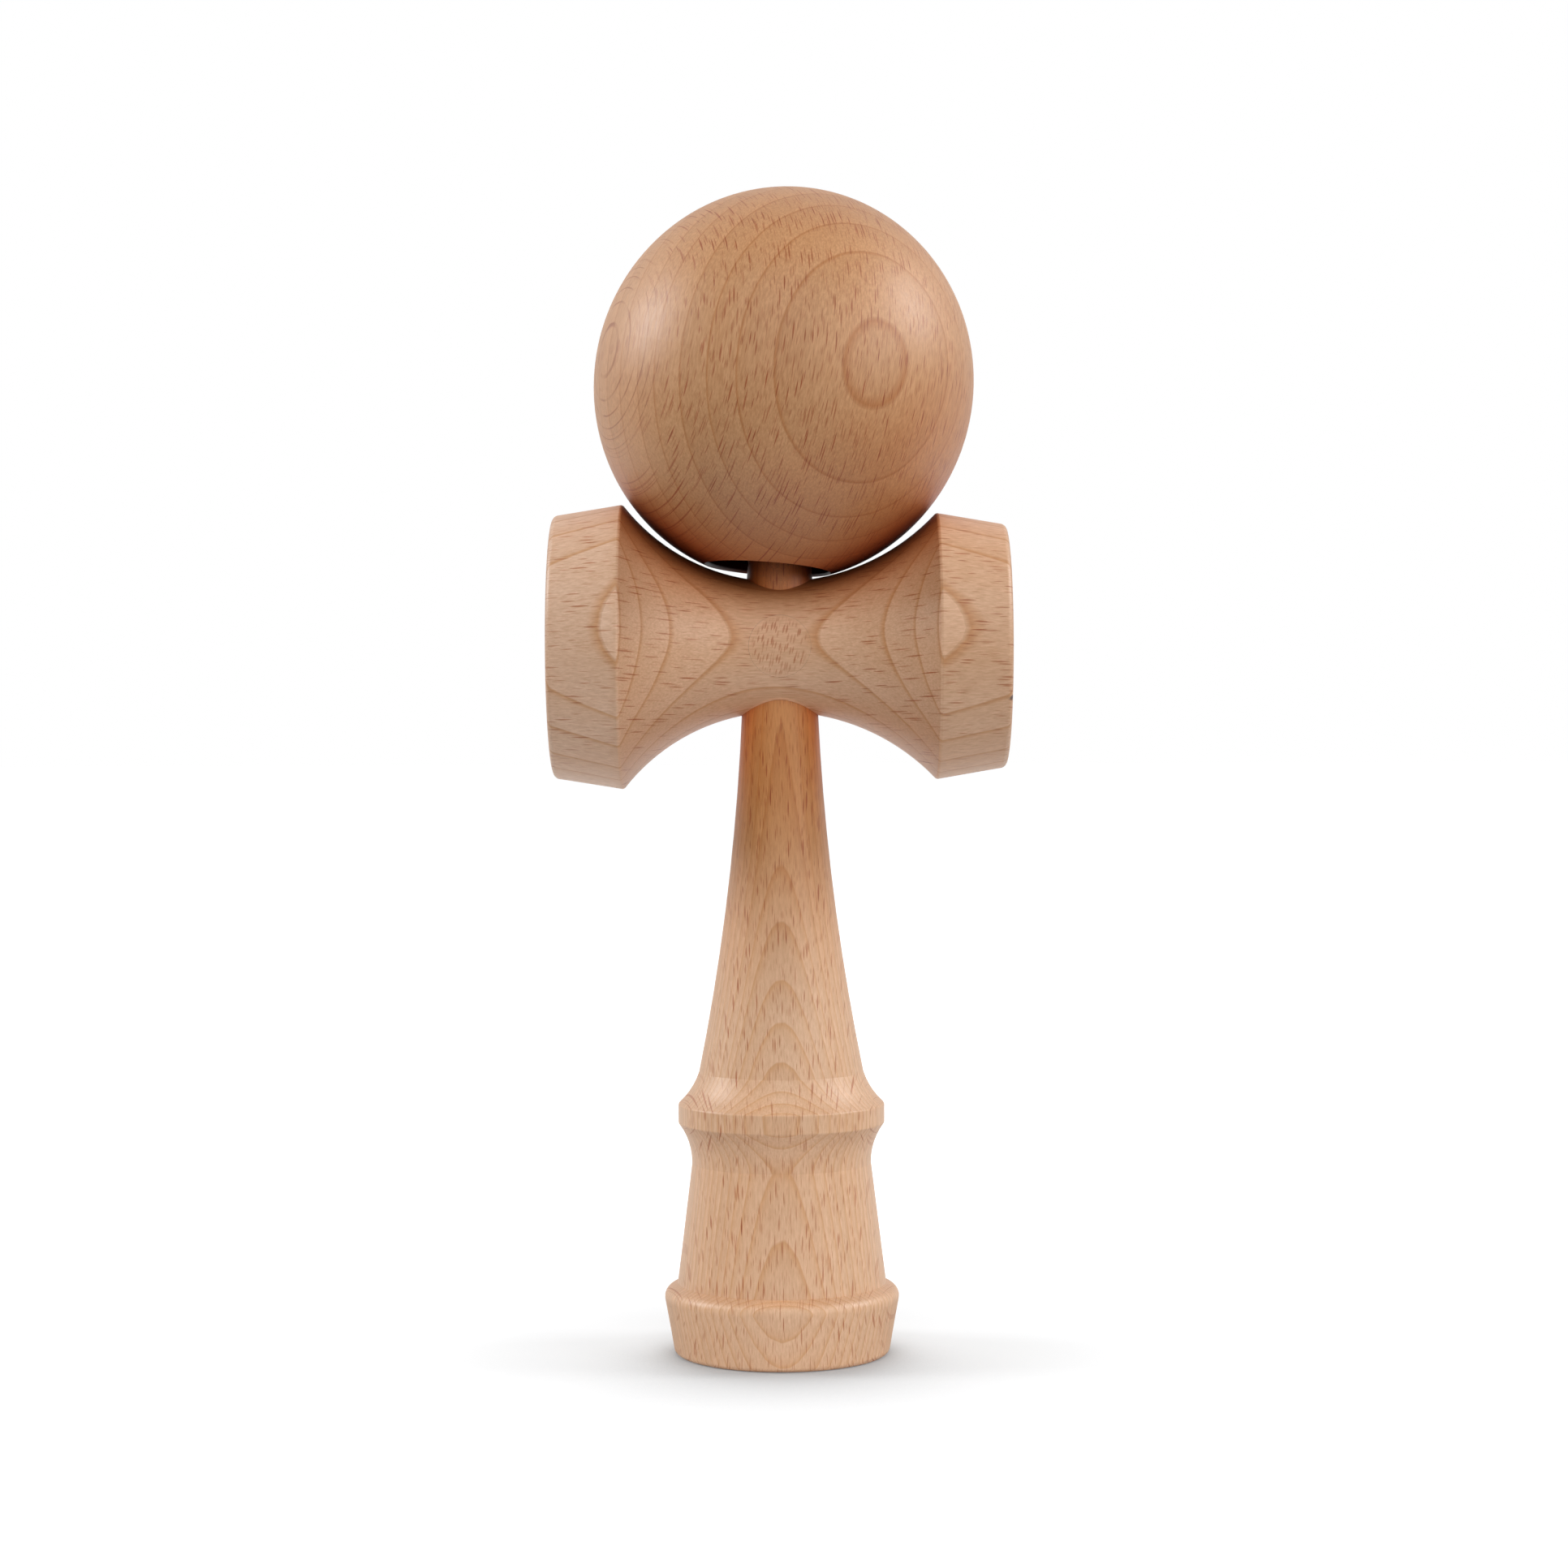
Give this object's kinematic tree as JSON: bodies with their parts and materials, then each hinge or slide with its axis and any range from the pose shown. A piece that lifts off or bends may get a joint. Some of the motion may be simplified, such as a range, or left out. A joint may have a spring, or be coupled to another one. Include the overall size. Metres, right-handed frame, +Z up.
{
  "type": "cup and ball toy",
  "caption": "Turned wooden cup and ball toy: a handle with a spike and a hollowed foot, a slip-on crosspiece with a cup at each end, and a bored ball standing on the spike.",
  "frame": {"origin": "centre of the foot's ring, on the surface that the toy stands on", "axes": "+Z up along the handle, +X along the crosspiece towards the small cup, -Y towards the front"},
  "size_m": [0.07, 0.0584, 0.1804],
  "materials": {
    "handle_wood": "satin",
    "crosspiece_wood": "satin",
    "plug_wood": "satin",
    "ball_wood": "satin"
  },
  "bodies": {
    "handle": {"handle": "handle_wood"},
    "crosspiece": {"crosspiece": "crosspiece_wood", "crosspiece_plug": "plug_wood"},
    "ball": {"ball": "ball_wood"}
  },
  "joints": [
    {"name": "crosspiece_pull_off", "type": "slide", "parent": "handle", "child": "crosspiece", "axis": [0, 0, 1], "range_m": [0, 0.062]},
    {"name": "ball_lift", "type": "slide", "parent": "crosspiece", "child": "ball", "axis": [0, 0, 1], "range_m": [0, 0.045]}
  ]
}
